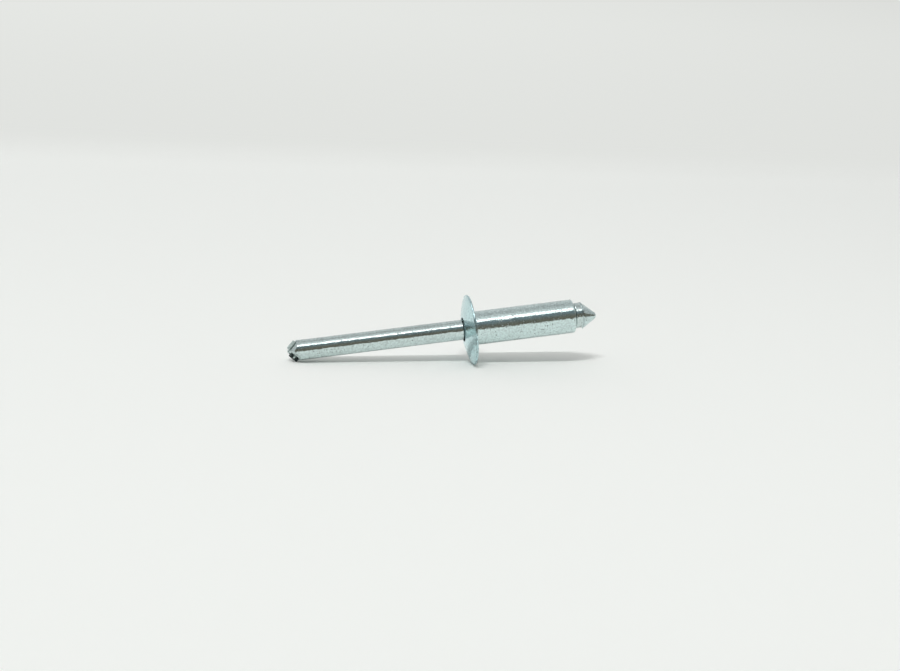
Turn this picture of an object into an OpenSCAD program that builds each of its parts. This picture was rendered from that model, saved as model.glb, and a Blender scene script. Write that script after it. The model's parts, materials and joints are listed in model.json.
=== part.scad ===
// Blind rivet with an open end and a domed flange, unset, lying on its flange's rim and its stem's point.
//
// The bore's axis runs along +X towards the mandrel's head and rises by lie_tilt, because the flange
// is wider than the stem. The origin is on that axis, at the face of the flange that seats on the work.
// Along the axis, positions are positive towards the head and negative towards the stem's point.
// All sizes are in millimetres.

/* [Body] */
// Diameter of the shank that goes through the work
shank_d = 4.8; // [4:0.1:6.4]
// Length of the shank under the flange
shank_l = 14.8; // [8:0.1:25]
// Diameter of the bore
bore_d = 3.05; // [2.95:0.01:3.2]
// Chamfer on the bore's edge at the open end
mouth_chamfer = 0.1; // [0.02:0.01:0.2]
// Radius on the outer edge of the shank's open end
shank_edge_r = 0.22; // [0.05:0.01:0.3]
// Radius between the shank and the flange's seating face
seat_fillet_r = 0.15; // [0.05:0.01:0.4]

/* [Flange] */
// Diameter of the flange
flange_d = 9.95; // [8.4:0.1:12]
// Height of the flange, from its seating face to the top of its dome
flange_h = 1.3; // [0.9:0.05:1.8]
// Thickness of the flange at its rim
rim_h = 0.3; // [0.2:0.02:0.6]
// Radius on both edges of the rim
rim_edge_r = 0.1; // [0.02:0.01:0.1]
// How far the flange was headed off the bore's axis
flange_shift = 0.16; // [0:0.02:0.3]
// Width of the dish that is pressed into the dome round the stem
dish_w = 0.26; // [0.1:0.02:0.5]
// Depth of that dish
dish_h = 0.26; // [0.1:0.02:0.5]

/* [Staking] */
// Length of the lip in the bore's mouth that holds the mandrel in
lip_l = 0.4; // [0.2:0.05:0.6]
// How far the stem is waisted under the lip, on its radius
waist_depth = 0.16; // [0.04:0.01:0.2]
// How far outside the dome the waist starts
waist_before = 0.1; // [0.02:0.02:0.3]
// How far past the lip the waist keeps its full depth, inside the bore
waist_past = 0.04; // [0.02:0.02:0.3]
// Gap between the lip and the waist, all round
lip_clearance = 0.02; // [0.01:0.005:0.04]

/* [Stem] */
// Diameter of the mandrel's stem
stem_d = 2.87; // [2.5:0.01:2.88]
// Length of stem that stands out beyond the dome
stem_l = 25; // [20:0.1:40]
// Diameter left at the break neck inside the body
neck_d = 2.05; // [1.6:0.05:2.4]
// Distance from the shank's open end back to the break neck
neck_back = 3.2; // [1.5:0.1:6]
// Angle between the two sides of the break neck
neck_angle = 80; // [50:5:120]

/* [Mandrel head] */
// Diameter of the mandrel's head
head_d = 3.63; // [3.3:0.01:4.4]
// Length of the head's cylinder, beyond the shank's open end
head_l = 1.15; // [0.6:0.02:2]
// Gap between the head and the shank's open end
head_gap = 0.04; // [0.01:0.01:0.2]
// Radius on the head's edge that faces the shank
head_edge_r = 0.3; // [0.05:0.01:0.3]
// Length of the head's point, beyond its cylinder
point_l = 2.23; // [1:0.02:3]
// Half angle of the point's cone
point_angle = 36; // [30:0.5:45]
// Radius of the point's blunt nose
nose_r = 0.65; // [0.3:0.05:0.8]
// How far the point's base was headed off the stem's axis
point_shift = 0.16; // [0:0.01:0.2]
// Angle at which the point leans away from the stem's axis
point_lean = 5; // [0:0.5:8]
// How far the flash ring between the cylinder and the point stands out
flash_h = 0.04; // [0.02:0.01:0.1]
// How far the nib of flash under the head stands out
nib_h = 0.24; // [0.1:0.02:0.4]
// Radius of the nib where it is rooted
nib_r = 0.2; // [0.1:0.01:0.2]
// Radius of the nib at its end
nib_end_r = 0.05; // [0.02:0.01:0.1]
// Distance of that nib from the flash ring, towards the nose
nib_ahead = 0.2; // [0:0.02:0.3]

/* [Pinched tail] */
// Angle between the stem's axis and each of the tail's two upper faces
upper_angle = 41.5; // [35:0.5:50]
// Turn of each upper face away from straight up, about the stem's axis
upper_turn = 28; // [15:1:40]
// Angle between the stem's axis and each of the tail's two lower faces
lower_angle = 37; // [30:0.5:45]
// Turn of each lower face away from straight down, about the stem's axis
lower_turn = 42; // [25:1:50]
// How far beyond the stem's blunt end the four faces would meet
tip_ahead = 0.15; // [0.05:0.01:0.4]
// How far the fins of flash stand out from the edges above and below
fin_h = 0.26; // [0.1:0.02:0.4]
// Thickness of the fins
fin_w = 0.5; // [0.2:0.05:0.8]
// Distance along its edge from where the faces would meet to the upper fin
upper_fin_start = 0.46; // [0.4:0.02:0.8]
// Length of the upper fin
upper_fin_l = 1.36; // [0.8:0.02:1.6]
// Distance along its edge from where the faces would meet to the lower fin
lower_fin_start = 0.66; // [0.4:0.02:0.8]
// Length of the lower fin
lower_fin_l = 1.36; // [0.8:0.02:1.6]

/* [Hidden] */
$fn = 96;
// Overlap of solids that are joined, and overrun of solids that cut
eps = 0.01;
run = 1;
// How deep the nib's root reaches into the head
nib_root = 0.3;

shank_r = shank_d / 2;
bore_r = bore_d / 2;
flange_r = flange_d / 2;
stem_r = stem_d / 2;
neck_r = neck_d / 2;
head_r = head_d / 2;

// The dome is part of a ball that meets the top of the rim
dome_rise = flange_h - rim_h;
dome_r = (flange_r * flange_r + dome_rise * dome_rise) / (2 * dome_rise);

// The stem's waist and the lip that is staked into it start at the bottom of the dish
dish_floor = -(flange_h - dish_h);
waist_r = stem_r - waist_depth;
lip_r = waist_r + lip_clearance;
waist_start = -flange_h - waist_before;
waist_end = dish_floor + lip_l + waist_past + waist_depth;

neck_at = shank_l - neck_back;
neck_half = (stem_r - neck_r) * tan(neck_angle / 2);
head_start = shank_l + head_gap;
point_start = shank_l + head_l;
tail_tip = -flange_h - stem_l;

// The tail's edges above and below, where its faces meet in pairs, start at tail_meet on the axis
tail_meet = tail_tip - tip_ahead;
upper_edge_angle = atan(tan(upper_angle) / cos(upper_turn));
lower_edge_angle = atan(tan(lower_angle) / cos(lower_turn));

// The flange's rim and the last corner of the lower fin both touch the floor. The rim touches it on its
// dome side's edge radius, whose centre is rest_along further from that corner and rest_across further
// from the axis.
fin_end = lower_fin_start + lower_fin_l;
corner_r = fin_end * sin(lower_edge_angle) + fin_h * cos(lower_edge_angle);
corner_at = tail_meet + fin_end * cos(lower_edge_angle) - fin_h * sin(lower_edge_angle);
rest_along = -(rim_h - rim_edge_r) - corner_at;
rest_across = flange_r + flange_shift - rim_edge_r - corner_r;
lie_tilt = atan2(rest_across, rest_along) + asin(rim_edge_r / norm([rest_along, rest_across]));

// Turns +Z, the axis that everything is made on, to the axis that the rivet lies on. +X goes down.
module lying() {
    rotate([0, 90 - lie_tilt, 0]) children();
}

// The corner that a radius r leaves outside it, for the corner at the origin of the quarter x < 0, y < 0
module outside_corner(r) {
    difference() {
        translate([-r, -r]) square(r + eps);
        translate([-r, -r]) circle(r);
    }
}

// Half section of the shank, with its fillet under the flange and its rounded open end
module shank_section() {
    difference() {
        union() {
            square([shank_r, shank_l]);
            square([shank_r + seat_fillet_r, seat_fillet_r]);
        }
        translate([shank_r + seat_fillet_r, seat_fillet_r]) circle(seat_fillet_r);
        translate([shank_r, shank_l]) outside_corner(shank_edge_r);
    }
}

// Half section of the flange: the dome's arc over a rim with rounded edges
module flange_section() {
    difference() {
        intersection() {
            translate([0, dome_r - flange_h]) circle(dome_r, $fn = 360);
            translate([0, -flange_h - eps]) square([flange_r, flange_h + eps]);
        }
        translate([flange_r, 0]) outside_corner(rim_edge_r);
        translate([flange_r, -rim_h]) mirror([0, 1]) outside_corner(rim_edge_r);
    }
}

// Half section of the hole: the dish, the staked lip, the bore and its chamfered mouth under the head
module bore_section() {
    polygon([
        [0, -flange_h - run],
        [stem_r + dish_w + run, -flange_h - run],
        [stem_r + dish_w, -flange_h],
        [lip_r, dish_floor],
        [lip_r, dish_floor + lip_l],
        [bore_r, dish_floor + lip_l + bore_r - lip_r],
        [bore_r, shank_l - mouth_chamfer],
        [bore_r + mouth_chamfer, shank_l],
        [bore_r + mouth_chamfer, shank_l + run],
        [0, shank_l + run]
    ]);
}

module rivet_body() {
    color("#b7c3c4")
    lying() difference() {
        union() {
            rotate_extrude() shank_section();
            translate([flange_shift, 0, 0]) rotate_extrude() flange_section();
        }
        rotate_extrude() bore_section();
    }
}

// Half section of the stem and the head's cylinder: waist under the lip, break neck, underhead edge
// radius and flash ring
module stem_section() {
    difference() {
        union() {
            translate([0, tail_tip]) square([stem_r, head_start - tail_tip + eps]);
            translate([0, head_start]) square([head_r, point_start - head_start]);
        }
        translate([head_r, head_start]) mirror([0, 1]) outside_corner(head_edge_r);
        polygon([
            [stem_r + run, waist_start],
            [stem_r, waist_start],
            [waist_r, waist_start + waist_depth],
            [waist_r, waist_end - waist_depth],
            [stem_r, waist_end],
            [stem_r + run, waist_end]
        ]);
        polygon([
            [neck_r, neck_at],
            [stem_r, neck_at - neck_half],
            [stem_r + run, neck_at - neck_half],
            [stem_r + run, neck_at + neck_half],
            [stem_r, neck_at + neck_half]
        ]);
    }
    polygon([
        [head_r - flash_h, point_start - 2 * flash_h],
        [head_r, point_start - 2 * flash_h],
        [head_r + flash_h, point_start],
        [head_r - flash_h, point_start + 2 * flash_h]
    ]);
}

// Half section of the head's point: a cone that a ball closes at the nose
module point_section() {
    cone_end = point_l - nose_r * (1 - sin(point_angle));
    nose_edge = nose_r * cos(point_angle);
    root = head_l / 2;
    polygon([
        [0, -root],
        [nose_edge + (cone_end + root) * tan(point_angle), -root],
        [nose_edge, cone_end],
        [0, cone_end]
    ]);
    intersection() {
        translate([0, point_l - nose_r]) circle(nose_r);
        square(point_l);
    }
}

// The head's point, headed off the axis and leaning; the head's cylinder, flash included, trims its base
module head_point() {
    intersection() {
        translate([point_shift, 0, point_start]) rotate([0, point_lean, 0])
            rotate_extrude() point_section();
        translate([0, 0, point_start - eps]) cylinder(h = point_l + run, r = head_r + flash_h / 2);
    }
}

// A nib of flash under the head, rooted in the point's base
module flash_nib() {
    translate([head_r - nib_root, 0, point_start + nib_ahead]) rotate([0, 90, 0])
        cylinder(h = nib_root + nib_h, r1 = nib_r, r2 = nib_end_r);
}

// Places its children on a line that leaves tail_meet at this angle from the axis: +Z along the line, +X
// away from the stem. turn is measured about the axis from straight up.
module on_tail_line(turn, angle) {
    translate([0, 0, tail_meet]) rotate([0, 0, 180 + turn]) rotate([0, angle, 0]) children();
}

// What the pinching tool takes away outside one face
module face_cut(turn, angle) {
    size = 4 * stem_d;
    on_tail_line(turn, angle) translate([0, -size / 2, -size / 2]) cube(size);
}

// A fin of flash along an edge, rooted in the stem
module tail_fin(turn, angle, start, length) {
    on_tail_line(turn, angle) translate([-fin_h, -fin_w / 2, start]) cube([2 * fin_h, fin_w, length]);
}

module mandrel() {
    color("#aebbbd")
    lying() {
        difference() {
            union() {
                rotate_extrude() stem_section();
                head_point();
                flash_nib();
            }
            face_cut(upper_turn, upper_angle);
            face_cut(-upper_turn, upper_angle);
            face_cut(180 + lower_turn, lower_angle);
            face_cut(180 - lower_turn, lower_angle);
        }
        tail_fin(0, upper_edge_angle, upper_fin_start, upper_fin_l);
        tail_fin(180, lower_edge_angle, lower_fin_start, lower_fin_l);
    }
}

rivet_body();
mandrel();
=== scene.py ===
"""The pop rivet's finishes, the floor it lies on, its lights and its camera."""

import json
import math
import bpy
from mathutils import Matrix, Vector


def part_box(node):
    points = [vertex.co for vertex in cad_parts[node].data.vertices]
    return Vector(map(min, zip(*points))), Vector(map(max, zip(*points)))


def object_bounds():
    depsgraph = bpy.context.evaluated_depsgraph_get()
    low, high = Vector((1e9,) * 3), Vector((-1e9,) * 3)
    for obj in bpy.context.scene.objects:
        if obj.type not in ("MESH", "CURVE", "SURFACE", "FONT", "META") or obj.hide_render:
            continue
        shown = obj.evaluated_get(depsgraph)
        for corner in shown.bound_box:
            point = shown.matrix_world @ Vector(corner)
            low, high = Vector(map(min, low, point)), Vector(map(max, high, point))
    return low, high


bl_info = {
    "name": "Pop rivet",
    "version": (1, 0, 0),
    "blender": (4, 5, 0),
    "location": "3D View > Sidebar > Rivet",
    "description": "Plates the rivet body and the mandrel in bright zinc, and sets the studio round them",
    "category": "Object",
}

import bmesh
import bpy
from bpy.props import FloatProperty, FloatVectorProperty, PointerProperty
from bpy.types import Operator, Panel, PropertyGroup
from mathutils import Matrix, Vector

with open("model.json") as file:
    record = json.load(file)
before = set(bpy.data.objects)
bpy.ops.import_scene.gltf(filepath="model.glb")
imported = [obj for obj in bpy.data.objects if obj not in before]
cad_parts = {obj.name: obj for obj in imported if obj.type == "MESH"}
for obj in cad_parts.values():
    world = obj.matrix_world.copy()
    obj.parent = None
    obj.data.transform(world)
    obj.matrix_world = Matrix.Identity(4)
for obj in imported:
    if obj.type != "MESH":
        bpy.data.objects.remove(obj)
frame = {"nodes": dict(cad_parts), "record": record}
CAD_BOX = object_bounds()

# ---------------------------------------------------------------- sizes from the frame

MM = 0.001
MOUNTS = {m["name"]: m for m in frame["record"]["mounts"]}
AXIS = Vector(MOUNTS["body_shank"]["axis"]).normalized()
SHANK_R = MOUNTS["body_shank"]["dims"]["r_mm"] * MM
STEM_R = MOUNTS["mandrel_stem"]["dims"]["r_mm"] * MM
FLOOR_Z = CAD_BOX[0].z


def along_axis(node):
    """The lowest and highest position of a node's vertices along the rivet's axis."""
    places = [v.co.dot(AXIS) for v in frame["nodes"][node].data.vertices]
    return min(places), max(places)


DOME_TOP, SHANK_END = along_axis("rivet_body")
TAIL_END, NOSE_END = along_axis("mandrel")
FLANGE_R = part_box("rivet_body")[1].y
FIN_W = 0.5 * MM
FLASH_RING = SHANK_END + 1.19 * MM

# the lamps: how far off they stand, the direction of each, and the width and depth of the fixed ones
LAMP_DISTANCE = 2.5
SOFTBOX = Vector((-0.20, -0.485, 0.851))
KEY, KEY_SIZE = Vector((-0.24, -0.583, 0.776)), (0.75, 0.05)
GLINT, GLINT_SIZE = Vector((-0.38, 0.10, 0.92)), (0.9, 1.1)

# the floor: how far it runs level, the radius of its cove, and the height of its wall
FLOOR_REACH, COVE_RADIUS, WALL_HEIGHT, COVE_STEPS = 1.3, 0.25, 0.45, 8

# the dark sheet of painted shade for the unlit side of the room: how far off it stands, and its height
# in degrees in front and on the right
DARK_REACH, DARK_HIGH, DARK_LOW = 0.62, math.radians(51.5), math.radians(22)
DARK_BEND_FROM, DARK_BEND_TO = math.radians(35), math.radians(80)
DARK_FROM, DARK_TO = math.radians(-60), math.radians(93)

# the camera: width of its sensor in mm, and the nearest and furthest that it sees
SENSOR_WIDTH, NEAREST, FURTHEST = 36, 0.01, 20


# ---------------------------------------------------------------- shader maths


class Wire:
    """A socket that can be used in Python sums."""

    def __init__(self, tree, socket):
        self.tree, self.socket = tree, socket

    @property
    def is_number(self):
        return self.socket.type in {"VALUE", "INT", "BOOLEAN"}

    def node(self, kind, settings=None, out=0, **inputs):
        """A node of this kind with its settings and its inputs, as its output's wire."""
        made = self.tree.nodes.new(kind)
        for name, value in (settings or {}).items():
            setattr(made, name, value)
        for name, value in inputs.items():
            key = int(name[1:]) if name[1:].isdigit() else name.replace("_", " ")
            self.feed(made.inputs[key], value)
        return Wire(self.tree, made.outputs[out])

    def feed(self, socket, value):
        """Links a wire to a socket, or sets the socket to a plain value of its own kind."""
        if isinstance(value, Wire):
            self.tree.links.new(value.socket, socket)
        elif socket.type == "RGBA" and not isinstance(value, (int, float)):
            socket.default_value = (*value[:3], 1)
        elif socket.type == "RGBA":
            socket.default_value = (value, value, value, 1)
        elif socket.type == "VECTOR" and isinstance(value, (int, float)):
            socket.default_value = (value, value, value)
        else:
            socket.default_value = value

    def maths(self, operation, *values):
        """One step of arithmetic: on numbers, or on vectors where any value is one."""
        plain = all(
            v.is_number if isinstance(v, Wire) else isinstance(v, (int, float)) for v in values
        )
        kind = "ShaderNodeMath" if plain else "ShaderNodeVectorMath"
        inputs = {f"i{i}": v for i, v in enumerate(values)}
        return self.node(kind, {"operation": operation}, **inputs)

    def __add__(self, other):
        return self.maths("ADD", self, other)

    def __sub__(self, other):
        return self.maths("SUBTRACT", self, other)

    def __mul__(self, other):
        return self.maths("MULTIPLY", self, other)

    def __truediv__(self, other):
        return self.maths("DIVIDE", self, other)

    def __radd__(self, other):
        return self.maths("ADD", other, self)

    def __rsub__(self, other):
        return self.maths("SUBTRACT", other, self)

    def __rmul__(self, other):
        return self.maths("MULTIPLY", other, self)

    def __abs__(self):
        return self.maths("ABSOLUTE", self)

    def __pow__(self, other):
        return self.maths("POWER", self, other)

    def dot(self, vector):
        return self.node(
            "ShaderNodeVectorMath", {"operation": "DOT_PRODUCT"}, out=1, i0=self, i1=tuple(vector)
        )

    def rise(self, low, high):
        """0 below low and 1 above high, with a smooth step between. High may be below low."""
        return self.node(
            "ShaderNodeMapRange", {"interpolation_type": "SMOOTHSTEP"},
            Value=self, From_Min=low, From_Max=high,
        )

    def mix(self, first, second):
        """first where this is 0, second where it is 1, for two colours."""
        return self.node(
            "ShaderNodeMix", {"data_type": "RGBA"}, out=2, i0=self, i6=first, i7=second
        )

    def noise(self, scale, detail=2.0, roughness=0.5):
        """Cloudy noise over this vector, from 0 to 1 and about 0.5 on the whole."""
        return self.node(
            "ShaderNodeTexNoise", Vector=self, Scale=scale, Detail=detail, Roughness=roughness
        )

    def cells(self, scale):
        """Distance to the nearest of scattered points over this vector."""
        return self.node("ShaderNodeTexVoronoi", Vector=self, Scale=scale)


def join(x, y, z):
    """A vector wire from three numbers, of which one at least is a wire."""
    wire = next(v for v in (x, y, z) if isinstance(v, Wire))
    return wire.node("ShaderNodeCombineXYZ", X=x, Y=y, Z=z)


def new_material(name):
    """A bare material, its surface output and a wire to start from."""
    material = bpy.data.materials.new(name)
    material.use_nodes = True
    tree = material.node_tree
    tree.nodes.clear()
    output = tree.nodes.new("ShaderNodeOutputMaterial")
    return material, output, Wire(tree, output.inputs["Surface"])


def rivet_places(start):
    """Position in mm along the rivet's axis, across it in two directions, and out from it."""
    position = start.node("ShaderNodeTexCoord", out=3)
    upright = Vector((-AXIS.z, 0, AXIS.x))
    along = position.dot(AXIS) / MM
    sideways = position.dot((0, 1, 0)) / MM
    upwards = position.dot(upright) / MM
    out = (sideways * sideways + upwards * upwards) ** 0.5
    return along, sideways, upwards, out


# ---------------------------------------------------------------- settings


class PlatingSettings(PropertyGroup):
    """The zinc plating on both pieces."""

    body_colour: FloatVectorProperty(
        name="Body colour", description="Reflected colour of the zinc on the rivet body",
        subtype="COLOR", size=3, min=0, max=1, default=(0.640, 0.765, 0.760),
    )
    mandrel_colour: FloatVectorProperty(
        name="Mandrel colour", description="Reflected colour of the zinc on the mandrel",
        subtype="COLOR", size=3, min=0, max=1, default=(0.610, 0.712, 0.704),
    )
    # the grime colour is also the colour of the painted shade in recesses, between the parts and along the
    # undersides
    grime_colour: FloatVectorProperty(
        name="Grime colour", description="Colour of pits, seams and sheared edges",
        subtype="COLOR", size=3, min=0, max=1, default=(0.045, 0.06, 0.06),
    )
    gloss: FloatProperty(
        name="Roughness", description="Roughness of the clean zinc",
        min=0.05, max=0.6, default=0.075,
    )
    grain_size: FloatProperty(
        name="Grain size", description="Width of the zinc's grains, in mm",
        min=0.05, max=1, default=0.24,
    )
    grain_depth: FloatProperty(
        name="Grain depth", description="Depth of the grains on the body",
        subtype="DISTANCE", unit="LENGTH", min=0, max=0.0001, default=0.000014, precision=7,
    )
    wire_grain_depth: FloatProperty(
        name="Wire grain depth", description="Depth of the grains on the mandrel's drawn wire",
        subtype="DISTANCE", unit="LENGTH", min=0, max=0.0001, default=0.000011, precision=7,
    )
    draw_length: FloatProperty(
        name="Drawing marks", description="Length of the drawing marks on the mandrel's wire, in mm",
        min=0.2, max=10, default=1.4,
    )


class StageSettings(PropertyGroup):
    """Floor, lights and camera."""

    floor_colour: FloatVectorProperty(
        name="Floor colour", description="Colour of the white card that the rivet lies on",
        subtype="COLOR", size=3, min=0, max=1, default=(0.962, 0.978, 0.952),
    )
    backdrop_colour: FloatVectorProperty(
        name="Backdrop colour", description="Colour of the backdrop behind the card",
        subtype="COLOR", size=3, min=0, max=1, default=(0.785, 0.80, 0.775),
    )
    card_edge: FloatProperty(
        name="Card edge", description="From the rivet back to the far edge of the card",
        subtype="DISTANCE", unit="LENGTH", min=0.05, default=0.213,
    )
    room_light: FloatProperty(
        name="Room light", description="Brightness of the room overhead", min=0, max=2, default=0.52,
    )
    soft_power: FloatProperty(
        name="Soft light", description="Power of the overhead softbox", subtype="POWER",
        min=0, default=7.4,
    )
    soft_width: FloatProperty(
        name="Softbox width", description="Width of the softbox, along the rivet",
        subtype="DISTANCE", unit="LENGTH", min=0.01, default=2.07,
    )
    soft_depth: FloatProperty(
        name="Softbox depth", description="Depth of the softbox, across the rivet",
        subtype="DISTANCE", unit="LENGTH", min=0.01, default=0.70,
    )
    key_power: FloatProperty(
        name="Key light", description="Power of the lamp that throws the shadow", subtype="POWER",
        min=0, default=24.0,
    )
    glint_power: FloatProperty(
        name="Glint", description="Power of the lamp behind that only shows in reflections",
        subtype="POWER", min=0, default=8.0,
    )
    azimuth: FloatProperty(
        name="Camera azimuth", description="Turn of the camera about the upright, from the front",
        subtype="ANGLE", unit="ROTATION", default=math.radians(-11.534),
    )
    elevation: FloatProperty(
        name="Camera elevation", description="Height of the camera above the horizon",
        subtype="ANGLE", unit="ROTATION", default=math.radians(12.5),
    )
    roll: FloatProperty(
        name="Camera roll", description="Turn of the camera about its own line of sight",
        subtype="ANGLE", unit="ROTATION", default=math.radians(3.299),
    )
    distance: FloatProperty(
        name="Camera distance", description="From the camera to the point it is aimed at",
        subtype="DISTANCE", unit="LENGTH", min=0.05, default=0.3,
    )
    lens: FloatProperty(
        name="Lens", description="Focal length on a 36 mm sensor", subtype="DISTANCE_CAMERA",
        min=10, default=84.77,
    )
    aim: FloatVectorProperty(
        name="Camera aim", description="The aimed-at point, from the middle of the flange's seat",
        subtype="XYZ", unit="LENGTH", size=3, default=(-0.003032, 0, -0.001051), precision=6,
    )


# ---------------------------------------------------------------- finishes


def zinc(name, colour, settings, depth, marks, find_spots_and_shade):
    """Bright zinc: fine grains, specks and pits, drawing marks along the axis, and dark spots and painted
    shade in their places.
    """
    material, output, start = new_material(name)
    along, sideways, upwards, out = rivet_places(start)
    place = join(along, sideways, upwards)
    size = settings.grain_size

    fine = place.noise(1.0 / size, detail=2.0, roughness=0.6)
    grain = place.noise(0.36 / size, detail=2.0, roughness=0.6)
    waves = place.noise(0.6, detail=1.0)
    stretched = join(along / settings.draw_length, sideways / size, upwards / size)
    drawn = stretched.noise(0.8, detail=2.0)

    # specks: the middles of scattered cells, where a coarser noise allows them
    bent = place + place.noise(3.0) * 0.25
    pits = bent.cells(1.9).rise(0.21, 0.12) * place.noise(1.7).rise(0.48, 0.58)
    specks = place.noise(1.0 / size, detail=1.0).rise(0.61, 0.69) * place.noise(1.1).rise(0.46, 0.60)
    matt = fine.rise(0.54, 0.68)

    # colour: finely mottled, cloudy and faintly drawn, with dark specks, a bluer headed part, and painted
    # shade in recesses, between the parts and along the underside
    cloud = place.noise(0.8, detail=3.0) * 0.2 + drawn * 0.2 + fine * 0.6
    pale, dull = tuple(min(1, c * 1.13) for c in colour), tuple(c * 0.85 for c in colour)
    tint = cloud.rise(0.62, 0.38).mix(dull, pale)
    # the piece's dark spots, and its painted shade in recesses, between the parts and along the underside
    spots_and_shade, headed, sheared, nose = find_spots_and_shade(along, sideways, upwards, out, place)
    tint = headed.mix(tint, tint * (0.92, 1.01, 1.05))
    # specks, pits, dark spots and the painted shade all take the grime colour
    specks_and_shade = ((pits * 0.6 + specks * 0.42) * (1.0 - 0.7 * headed) + spots_and_shade).rise(0.0, 1.0)
    tint = specks_and_shade.mix(tint, tuple(settings.grime_colour))

    rough = settings.gloss + (grain - 0.5) * 0.1 + matt * 0.16 + specks_and_shade * 0.3 + sheared + headed * 0.1
    height = fine + grain * 1.6 + waves * 1.6 + drawn * marks - pits * 1.2 - specks * 0.6
    height = height * (1.0 - 0.7 * headed) - nose
    bump = start.node("ShaderNodeBump", Strength=1.0, Distance=depth, Height=height)
    shader = start.node(
        "ShaderNodeBsdfPrincipled", Base_Color=tint, Metallic=1.0, Roughness=rough, Normal=bump
    )
    shader.tree.links.new(shader.socket, output.inputs["Surface"])
    return material


def body_spots_and_shade(along, sideways, upwards, out, place):
    """Painted shade in the dish above and below the stem, in the corner under the flange, just inside the
    open end and along the underside of the shank, and dark spots round the rim.

    The flange is smoother, bluer and duller than the shank, from its heading. Returns the dark spots and
    painted shade, where it was headed, the extra roughness of torn metal and what the nose's
    rounding takes off.
    """
    stem, shank = STEM_R / MM, SHANK_R / MM
    top, end = DOME_TOP / MM, SHANK_END / MM
    # painted shade in the dish, only above and below the stem
    dish = out.rise(stem + 0.34, stem + 0.18) * along.rise(top + 0.7, top + 0.3)
    ends = abs(upwards - 0.1).rise(0.9, 1.45)
    # painted shade in the corner where the shank meets the flange's underside
    seat = along.rise(-0.02, 0.06) * along.rise(0.34, 0.12) * out.rise(shank + 0.5, shank + 0.1)
    # painted shade just inside the open end of the bore
    mouth = out.rise(shank - 0.3, shank - 0.5) * along.rise(end - 0.2, end - 0.02)
    rim = out.rise(FLANGE_R / MM - 0.25, FLANGE_R / MM - 0.08) * place.noise(4.5).rise(0.50, 0.62)
    # painted shade along the underside of the shank, in place of its reflected shadow
    under = upwards.rise(0.26 - shank, 0.1 - shank) * along.rise(0.3, 0.6)
    flange = along.rise(0.02, -0.05)
    spots_and_shade = dish * ends + seat * 0.6 + mouth * 0.4 + rim * 0.5 + under * 0.4
    return spots_and_shade, flange, dish * 0.5, 0.0


def mandrel_spots_and_shade(along, sideways, upwards, out, place):
    """Painted shade in the waist under the dome, in patches on the lower fin, in the fins' creases, in the
    gap before the head and along the underside of the stem; a dark line at the flash ring and a dark tip.

    The fins are rough from shearing, and the nose rounds off before its tip. Returns the same four things
    as the body's.
    """
    top, end, tail = DOME_TOP / MM, SHANK_END / MM, TAIL_END / MM
    # painted shade in the waist, where the stem goes into the dome
    waist = along.rise(top - 0.10, top - 0.0) * along.rise(end, end - 1.0)
    behind = along.rise(tail + 2.4, tail + 1.6)
    flat = abs(sideways)
    fins = behind * flat.rise(FIN_W / MM / 2 + 0.04, FIN_W / MM / 2 + 0.01)
    # painted shade on the lower fin only, broken into patches by the noise below
    below = fins * upwards.rise(-0.15, -0.35)
    # painted shade in the creases along the fins
    crease = behind * flat.rise(FIN_W / MM / 2 + 0.01, FIN_W / MM / 2 + 0.04) * flat.rise(
        FIN_W / MM / 2 + 0.16, FIN_W / MM / 2 + 0.08
    )
    patch = place.noise(3.0).rise(0.36, 0.5)
    ring = abs(along - FLASH_RING / MM).rise(0.16, 0.04)
    # painted shade in the gap between the shank's end and the head
    neck = along.rise(end + 0.3, end + 0.06) * along.rise(end - 0.3, end)
    nose = (along - (NOSE_END / MM - 1.1)).maths("MAXIMUM", 0.0)
    # darker at the very tip
    tip = along.rise(NOSE_END / MM - 0.12, NOSE_END / MM - 0.03)
    # painted shade along the underside of the stem, in place of its reflected shadow
    under = upwards.rise(0.18 - STEM_R / MM, 0.06 - STEM_R / MM) * along.rise(top, top - 0.3)
    spots_and_shade = waist * 0.6 + below * patch + crease * 0.9 + ring * 0.35 + neck * 0.8
    spots_and_shade = spots_and_shade + tip * 0.9 + under * 0.4
    headed = along.rise(end + 0.9, end + 1.2) * 0.3
    return spots_and_shade, headed, fins * 0.35, nose * nose * 9.0


def dress(node, material):
    """Puts one material on every slot of a CAD node."""
    obj = frame["nodes"][node]
    if not obj.material_slots:
        obj.data.materials.append(material)
    for each in obj.material_slots:
        each.material = material


class RIVET_OT_body(Operator):
    """Plate the rivet body: its shank and its domed flange"""

    bl_idname = "rivet.body"
    bl_label = "Rivet body"

    def execute(self, context):
        settings = context.scene.rivet_plating
        finish = zinc(
            "body_zinc", settings.body_colour, settings, settings.grain_depth, marks=0.2, find_spots_and_shade=body_spots_and_shade
        )
        dress("rivet_body", finish)
        return {"FINISHED"}


class RIVET_OT_mandrel(Operator):
    """Plate the mandrel: its stem, its pinched tail and its pointed head"""

    bl_idname = "rivet.mandrel"
    bl_label = "Mandrel"

    def execute(self, context):
        settings = context.scene.rivet_plating
        finish = zinc(
            "mandrel_zinc", settings.mandrel_colour, settings, settings.wire_grain_depth, marks=0.8,
            find_spots_and_shade=mandrel_spots_and_shade,
        )
        dress("mandrel", finish)
        return {"FINISHED"}


# ---------------------------------------------------------------- stage


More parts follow.
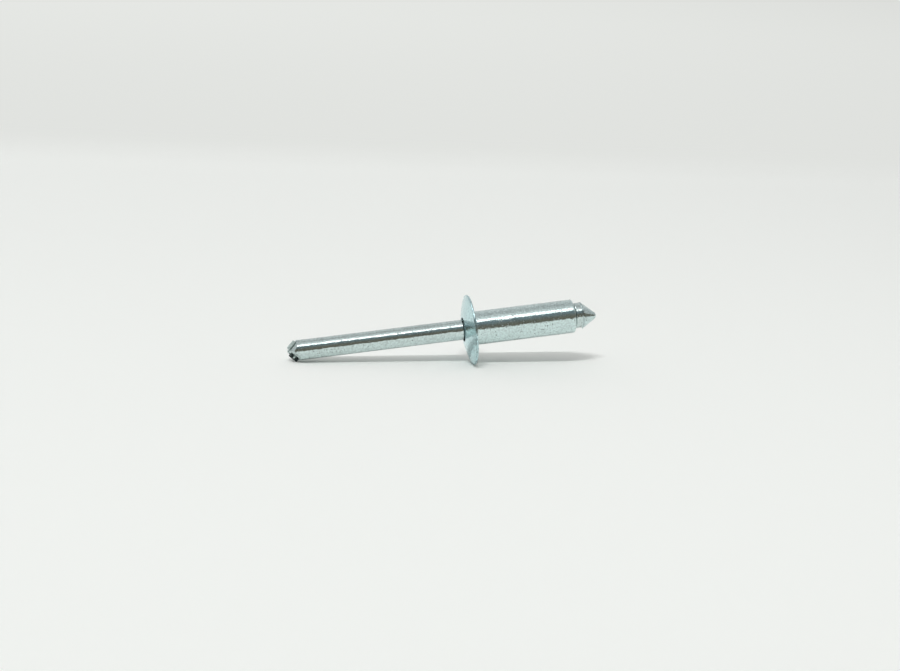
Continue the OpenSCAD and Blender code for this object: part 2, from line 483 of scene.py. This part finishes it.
def sheet(settings):
    """Smooth white card with painted shade, darker towards its back and its right, and beyond its far edge
    the slightly darker backdrop, glowing at its own colour, with painted shade at its foot, to its right,
    and on its left in reflections.
    """
    material, output, start = new_material("white_card")
    place = start.node("ShaderNodeTexCoord", out=3)
    back = place.dot((0, 1, 0)) + (place.noise(4.0) - 0.5) * 0.01
    right = place.dot((1, 0, 0))
    edge = settings.card_edge

    near, far = tuple(settings.floor_colour), tuple(settings.backdrop_colour)
    # painted shade: the card darker towards the back and to the right, as if the light fell off there
    tint = back.rise(-0.12, 0.17).mix(near, tuple(c * 0.93 for c in near))
    tint = tint * (1.0 - 0.05 * right.rise(0.0, 0.22))
    card = start.node(
        "ShaderNodeBsdfPrincipled", Base_Color=tint, Roughness=0.9, Specular_IOR_Level=0.0
    )

    # the backdrop shows at its own colour, however little light reaches it, with painted shade: darker at
    # its foot, darker to the right, and darker on the left where reflections see it
    tint = back.rise(edge, edge + 0.5).mix(tuple(c * 0.96 for c in far), far)
    shiny = start.node("ShaderNodeLightPath", out=3)
    tint = tint * (1.0 - 0.11 * right.rise(0.02, 0.7) - 0.4 * right.rise(-0.4, -0.9) * shiny)
    glow = start.node("ShaderNodeEmission", Color=tint, Strength=1.0)
    seen = start.node("ShaderNodeLightPath", out=0) + shiny
    share = back.rise(edge - 0.03, edge + 0.03) * seen.rise(0.0, 1.0)
    both = start.node("ShaderNodeMixShader", i0=share, i1=card, i2=glow)
    both.tree.links.new(both.socket, output.inputs["Surface"])
    return material


def new_object(name, mesh, *materials):
    """An object made from a bmesh, which is freed."""
    data = bpy.data.meshes.new(name)
    mesh.to_mesh(data)
    mesh.free()
    for material in materials:
        data.materials.append(material)
    obj = bpy.data.objects.new(name, data)
    bpy.context.scene.collection.objects.link(obj)
    return obj


def round_sheet(name, rows, material, turn_from=0.0, turn_to=2 * math.pi, steps=96):
    """A sheet turned about the upright: each row is a function of the turn, giving radius and height."""
    mesh = bmesh.new()
    rings = []
    for row in rows:
        ring = []
        for i in range(steps + 1):
            turn = turn_from + (turn_to - turn_from) * i / steps
            radius, height = row(turn)
            place = radius * math.sin(turn), -radius * math.cos(turn), FLOOR_Z + height
            ring.append(mesh.verts.new(place))
        rings.append(ring)
    for low, high in zip(rings, rings[1:]):
        for i in range(steps):
            mesh.faces.new((low[i], low[i + 1], high[i + 1], high[i])).smooth = True
    bmesh.ops.remove_doubles(mesh, verts=mesh.verts, dist=1e-6)
    return new_object(name, mesh, material)


class RIVET_OT_stage(Operator):
    """Set the floor and its cove, the lamps, a dark sheet of painted shade for the unlit side of the room,
    and the camera
    """

    bl_idname = "rivet.stage"
    bl_label = "Stage"

    def execute(self, context):
        settings = context.scene.rivet_stage
        self.floor(settings)
        self.dark_side()
        self.lamps(settings)
        self.room(context, settings)
        self.camera(context, settings)
        return {"FINISHED"}

    def floor(self, settings):
        """A flat floor that curves up into a low wall all round."""
        reach, cove = FLOOR_REACH, COVE_RADIUS
        rows = [lambda turn: (1e-4, 0.0), lambda turn: (reach, 0.0)]
        for i in range(1, COVE_STEPS + 1):
            lift = math.pi / 2 * i / COVE_STEPS
            rows.append(
                lambda turn, lift=lift: (reach + cove * math.sin(lift), cove * (1 - math.cos(lift)))
            )
        rows.append(lambda turn: (reach + cove, WALL_HEIGHT))
        round_sheet("floor", rows, sheet(settings))

    def dark_side(self):
        """A dark glowing sheet standing for the unlit side of the room, high in front and low on the
        right: painted shade, seen in reflections and from the floor. The camera looks through it, and it
        throws no shadow.
        """
        material, output, start = new_material("dark_side")
        height = start.node("ShaderNodeTexCoord", out=3).dot((0, 0, 1))
        # the painted shade is browner low down and bluer higher up
        shade = height.rise(0.1, 0.6).mix((0.165, 0.148, 0.118), (0.185, 0.23, 0.25))
        glow = start.node("ShaderNodeEmission", Color=shade, Strength=1.0)
        glow.tree.links.new(glow.socket, output.inputs["Surface"])

        def top(turn):
            share = min(1, max(0, (turn - DARK_BEND_FROM) / (DARK_BEND_TO - DARK_BEND_FROM)))
            return DARK_REACH, DARK_REACH * math.tan(DARK_HIGH + (DARK_LOW - DARK_HIGH) * share)

        wall = round_sheet(
            "dark_side", [lambda turn: (DARK_REACH, 0.0), top], material,
            turn_from=DARK_FROM, turn_to=DARK_TO, steps=48,
        )
        wall.visible_camera = False
        wall.visible_shadow = False

    def lamps(self, settings):
        """A wide softbox over the front left, a narrow key that throws the shadow and that reflections
        don't show, and a lamp behind that only reflections show.
        """
        soft = settings.soft_width, settings.soft_depth
        self.lamp("softbox", SOFTBOX, soft, settings.soft_power)
        key = self.lamp("key", KEY, KEY_SIZE, settings.key_power)
        key.visible_glossy = False
        glint = self.lamp("glint", GLINT, GLINT_SIZE, settings.glint_power)
        glint.visible_diffuse = False

    def lamp(self, name, towards, size, power):
        """A rectangular lamp facing the rivet, with its long side along the rivet."""
        data = bpy.data.lights.new(name, "AREA")
        data.shape, data.size, data.size_y, data.energy = "RECTANGLE", *size, power
        lamp = bpy.data.objects.new(name, data)
        bpy.context.scene.collection.objects.link(lamp)
        upwards = towards.cross(Vector((1, 0, 0.2))).normalized()
        turn = Matrix((upwards.cross(towards), upwards, towards)).transposed().to_4x4()
        lamp.matrix_world = Matrix.Translation(towards * LAMP_DISTANCE) @ turn
        return lamp

    def room(self, context, settings):
        """An even room, brighter round the softbox and low down behind."""
        world = bpy.data.worlds.new("room")
        context.scene.world = world
        world.use_nodes = True
        tree = world.node_tree
        tree.nodes.clear()
        output = tree.nodes.new("ShaderNodeOutputWorld")
        towards = Wire(tree, output.inputs["Surface"]).node("ShaderNodeTexCoord", out=0)
        halo = towards.dot(SOFTBOX).rise(0.743, 0.97)
        behind = towards.dot((0, 1, 0)).rise(0.35, 0.75)
        level = settings.room_light * (1 + 0.57 * halo + 0.27 * behind)
        back = level.node("ShaderNodeBackground", Color=(1, 1, 1), Strength=level)
        tree.links.new(back.socket, output.inputs["Surface"])

    def camera(self, context, settings):
        """The camera, at its distance from the point it is aimed at and rolled about its line of sight."""
        a, e, r = settings.azimuth, settings.elevation, settings.roll
        back = Vector((math.sin(a) * math.cos(e), -math.cos(a) * math.cos(e), math.sin(e)))
        right = Vector((math.cos(a), math.sin(a), 0))
        up = back.cross(right)
        across = math.cos(r) * right + math.sin(r) * up
        upwards = math.cos(r) * up - math.sin(r) * right
        place = Vector(settings.aim) + back * settings.distance
        data = bpy.data.cameras.new("camera")
        data.sensor_width, data.lens = SENSOR_WIDTH, settings.lens
        data.clip_start, data.clip_end = NEAREST, FURTHEST
        camera = bpy.data.objects.new("camera", data)
        context.scene.collection.objects.link(camera)
        turn = Matrix((across, upwards, back)).transposed().to_4x4()
        camera.matrix_world = Matrix.Translation(place) @ turn
        context.scene.camera = camera
        context.scene.view_settings.view_transform = "Standard"


# ---------------------------------------------------------------- panel and main


class RIVET_PT_sidebar(Panel):
    """The rivet's settings and steps"""

    bl_label = "Pop rivet"
    bl_space_type = "VIEW_3D"
    bl_region_type = "UI"
    bl_category = "Rivet"

    def draw(self, context):
        for group, steps in (
            (context.scene.rivet_plating, (RIVET_OT_body, RIVET_OT_mandrel)),
            (context.scene.rivet_stage, (RIVET_OT_stage,)),
        ):
            box = self.layout.box()
            for name in group.bl_rna.properties.keys():
                if name not in {"rna_type", "name"}:
                    box.prop(group, name)
            for step in steps:
                box.operator(step.bl_idname)


CLASSES = (
    PlatingSettings,
    StageSettings,
    RIVET_OT_body,
    RIVET_OT_mandrel,
    RIVET_OT_stage,
    RIVET_PT_sidebar,
)


def register():
    for each in CLASSES:
        bpy.utils.register_class(each)
    bpy.types.Scene.rivet_plating = PointerProperty(type=PlatingSettings)
    bpy.types.Scene.rivet_stage = PointerProperty(type=StageSettings)


def unregister():
    del bpy.types.Scene.rivet_plating
    del bpy.types.Scene.rivet_stage
    for each in reversed(CLASSES):
        bpy.utils.unregister_class(each)


def main():
    register()
    bpy.ops.rivet.body()
    bpy.ops.rivet.mandrel()
    bpy.ops.rivet.stage()


if __name__ == "__main__":
    main()
